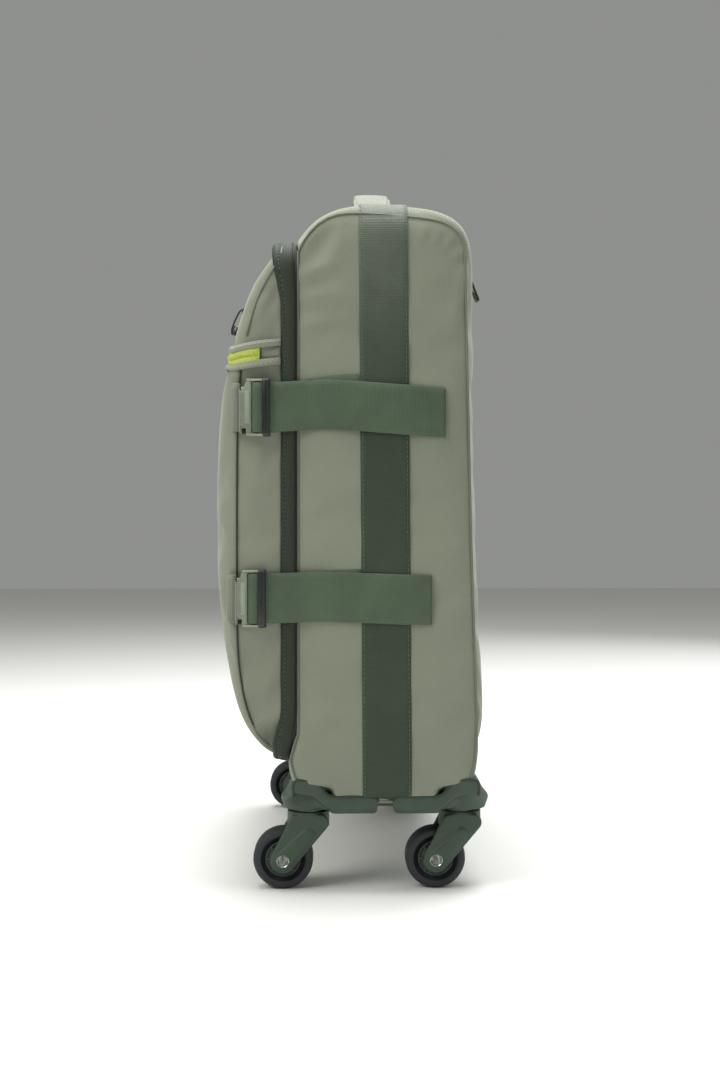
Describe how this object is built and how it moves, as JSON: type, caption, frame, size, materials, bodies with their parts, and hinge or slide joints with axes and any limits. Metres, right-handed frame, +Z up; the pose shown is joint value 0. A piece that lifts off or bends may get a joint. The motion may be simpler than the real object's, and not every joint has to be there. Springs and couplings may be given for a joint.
{
  "type": "softside upright suitcase",
  "caption": "Upright fabric cabin suitcase: padded body, zipped front lid hinged at one side, compression straps with buckles, telescopic handle and swivel casters.",
  "frame": {"origin": "on the floor, under the middle of the case's overall box", "axes": "+Z up; the front lid faces -Y and the trolley handle is at the +Y side; the lid opens on the +X side and hinges on the -X side"},
  "size_m": [0.368, 0.203, 0.55],
  "materials": {
    "sage_twill": "sage green twill",
    "lining": "thin grey lining",
    "board": "plain extruded board",
    "steel": "zinc plated",
    "forest_tape": "dark green zip tape",
    "lime_tape": "lime zip tape",
    "forest_webbing": "ribbed dark green webbing",
    "sage_webbing": "folded sage twill",
    "moulded_green": "grained moulding, dark green",
    "sage_plastic": "satin acetal",
    "black_plastic": "satin gloss black",
    "grey_plastic": "satin",
    "charcoal_plastic": "satin charcoal",
    "tyre_rubber": "charcoal tread",
    "tube_metal": "satin anodised",
    "axle_metal": "turned sleeve",
    "dark_metal": "black coated zinc",
    "black_cord": "braided cord"
  },
  "bodies": {
    "root": {"main_shell": "sage_twill", "main_lining": "lining", "back_board": "board", "base_board": "board", "rim_frame": "steel", "main_zip_tape": "forest_tape", "centre_bands": "forest_webbing", "carry_handle": "sage_webbing", "strap_upper_right": "forest_webbing", "strap_lower_right": "forest_webbing", "straps_left": "forest_webbing", "guards_front": "moulded_green", "guards_rear": "moulded_green", "guard_screws": "steel", "kingpins": "steel", "swivel_bearings": "steel", "trolley_cup": "black_plastic", "outer_tubes": "tube_metal", "back_zip_tape": "forest_tape"},
    "lid": {"lid_shell": "sage_twill", "lid_lining": "lining", "lid_divider": "board", "lid_zip_tape": "forest_tape", "upper_pocket_zip": "forest_tape", "lower_pocket_zip": "lime_tape", "buckle_tabs": "sage_webbing", "buckle_sockets": "sage_plastic", "buckle_plugs_left": "black_plastic"},
    "plug_upper_right": {"buckle_plug_upper_right": "black_plastic"},
    "plug_lower_right": {"buckle_plug_lower_right": "black_plastic"},
    "handle_stage_1": {"middle_tubes": "tube_metal"},
    "handle_stage_2": {"inner_tubes": "tube_metal", "trolley_grip": "black_plastic"},
    "button": {"grip_button": "grey_plastic"},
    "main_slider_right": {"main_slider_right": "dark_metal"},
    "main_pull_right": {"main_pull_right": "forest_webbing"},
    "main_slider_left": {"main_slider_left": "dark_metal"},
    "main_pull_left": {"main_pull_left": "forest_webbing"},
    "upper_slider": {"upper_slider": "dark_metal"},
    "upper_pull": {"upper_pull": "black_cord"},
    "lower_slider": {"lower_slider": "dark_metal"},
    "lower_pull": {"lower_pull": "black_cord"},
    "back_slider": {"back_slider": "dark_metal"},
    "back_pull": {"back_pull": "forest_webbing"},
    "caster_front_right": {"fork_front_right": "moulded_green", "axle_front_right": "axle_metal"},
    "wheel_front_right": {"hub_front_right": "charcoal_plastic", "tyre_front_right": "tyre_rubber"},
    "caster_front_left": {"fork_front_left": "moulded_green", "axle_front_left": "axle_metal"},
    "wheel_front_left": {"hub_front_left": "charcoal_plastic", "tyre_front_left": "tyre_rubber"},
    "caster_rear_right": {"fork_rear_right": "moulded_green", "axle_rear_right": "axle_metal"},
    "wheel_rear_right": {"hub_rear_right": "charcoal_plastic", "tyre_rear_right": "tyre_rubber"},
    "caster_rear_left": {"fork_rear_left": "moulded_green", "axle_rear_left": "axle_metal"},
    "wheel_rear_left": {"hub_rear_left": "charcoal_plastic", "tyre_rear_left": "tyre_rubber"}
  },
  "joints": [
    {"name": "lid_hinge", "type": "hinge", "parent": "root", "child": "lid", "pos_m": [-0.176, -0.044, 0.2845], "axis": [0, 0, -1], "range_deg": [0, 105]},
    {"name": "buckle_upper_release", "type": "slide", "parent": "root", "child": "plug_upper_right", "axis": [0, 1, 0], "range_m": [0, 0.02], "deforming": ["strap_upper_right"]},
    {"name": "buckle_lower_release", "type": "slide", "parent": "root", "child": "plug_lower_right", "axis": [0, 1, 0], "range_m": [0, 0.02], "deforming": ["strap_lower_right"]},
    {"name": "handle_lower_slide", "type": "slide", "parent": "root", "child": "handle_stage_1", "axis": [0, 0, 1], "range_m": [0, 0.24]},
    {"name": "handle_upper_slide", "type": "slide", "parent": "handle_stage_1", "child": "handle_stage_2", "axis": [0, 0, 1], "range_m": [0, 0.24]},
    {"name": "grip_button_press", "type": "slide", "parent": "handle_stage_2", "child": "button", "axis": [0, 0, -1], "range_m": [0, 0.004], "stiffness_N_per_m": 600},
    {"name": "swivel_front_right", "type": "hinge", "parent": "root", "child": "caster_front_right", "pos_m": [0.15, -0.031, 0.05], "axis": [0, 0, 1], "continuous": true},
    {"name": "spin_front_right", "type": "hinge", "parent": "caster_front_right", "child": "wheel_front_right", "pos_m": [0.15, -0.0494, 0.022], "axis": [1, 0, 0], "continuous": true},
    {"name": "swivel_front_left", "type": "hinge", "parent": "root", "child": "caster_front_left", "pos_m": [-0.15, -0.031, 0.05], "axis": [0, 0, 1], "continuous": true},
    {"name": "spin_front_left", "type": "hinge", "parent": "caster_front_left", "child": "wheel_front_left", "pos_m": [-0.15, -0.0494, 0.022], "axis": [1, 0, 0], "continuous": true},
    {"name": "swivel_rear_right", "type": "hinge", "parent": "root", "child": "caster_rear_right", "pos_m": [0.15, 0.081, 0.05], "axis": [0, 0, 1], "continuous": true},
    {"name": "spin_rear_right", "type": "hinge", "parent": "caster_rear_right", "child": "wheel_rear_right", "pos_m": [0.15, 0.0626, 0.022], "axis": [1, 0, 0], "continuous": true},
    {"name": "swivel_rear_left", "type": "hinge", "parent": "root", "child": "caster_rear_left", "pos_m": [-0.15, 0.081, 0.05], "axis": [0, 0, 1], "continuous": true},
    {"name": "spin_rear_left", "type": "hinge", "parent": "caster_rear_left", "child": "wheel_rear_left", "pos_m": [-0.15, 0.0626, 0.022], "axis": [1, 0, 0], "continuous": true},
    {"name": "main_slider_right_run", "type": "slide", "parent": "root", "child": "main_slider_right", "axis": [1, 0, 0], "range_m": [0, 0.1]},
    {"name": "main_slider_left_run", "type": "slide", "parent": "root", "child": "main_slider_left", "axis": [-1, 0, 0], "range_m": [0, 0.1]},
    {"name": "main_pull_right_swing", "type": "hinge", "parent": "main_slider_right", "child": "main_pull_right", "pos_m": [0.012, -0.044, 0.477], "axis": [0, -1, 0], "range_deg": [0, 150]},
    {"name": "main_pull_left_swing", "type": "hinge", "parent": "main_slider_left", "child": "main_pull_left", "pos_m": [-0.012, -0.044, 0.477], "axis": [0, 1, 0], "range_deg": [0, 150]},
    {"name": "upper_slider_run", "type": "slide", "parent": "lid", "child": "upper_slider", "axis": [-1, 0, 0], "range_m": [0, 0.12]},
    {"name": "upper_pull_swing", "type": "hinge", "parent": "upper_slider", "child": "upper_pull", "pos_m": [0.06, -0.0854, 0.441], "axis": [-1, 0, 0], "range_deg": [0, 120]},
    {"name": "lower_slider_run", "type": "slide", "parent": "lid", "child": "lower_slider", "axis": [1, 0, 0], "range_m": [0, 0.12]},
    {"name": "lower_pull_swing", "type": "hinge", "parent": "lower_slider", "child": "lower_pull", "pos_m": [-0.06, -0.0965, 0.391], "axis": [-1, 0, 0], "range_deg": [0, 120]},
    {"name": "back_slider_run", "type": "slide", "parent": "root", "child": "back_slider", "axis": [-1, 0, 0], "range_m": [0, 0.2]},
    {"name": "back_pull_swing", "type": "hinge", "parent": "back_slider", "child": "back_pull", "pos_m": [0.1, 0.0932, 0.462], "axis": [1, 0, 0], "range_deg": [0, 38]}
  ],
  "couplings": [
    {"joint": "handle_upper_slide", "follows": "handle_lower_slide", "ratio": 1}
  ]
}
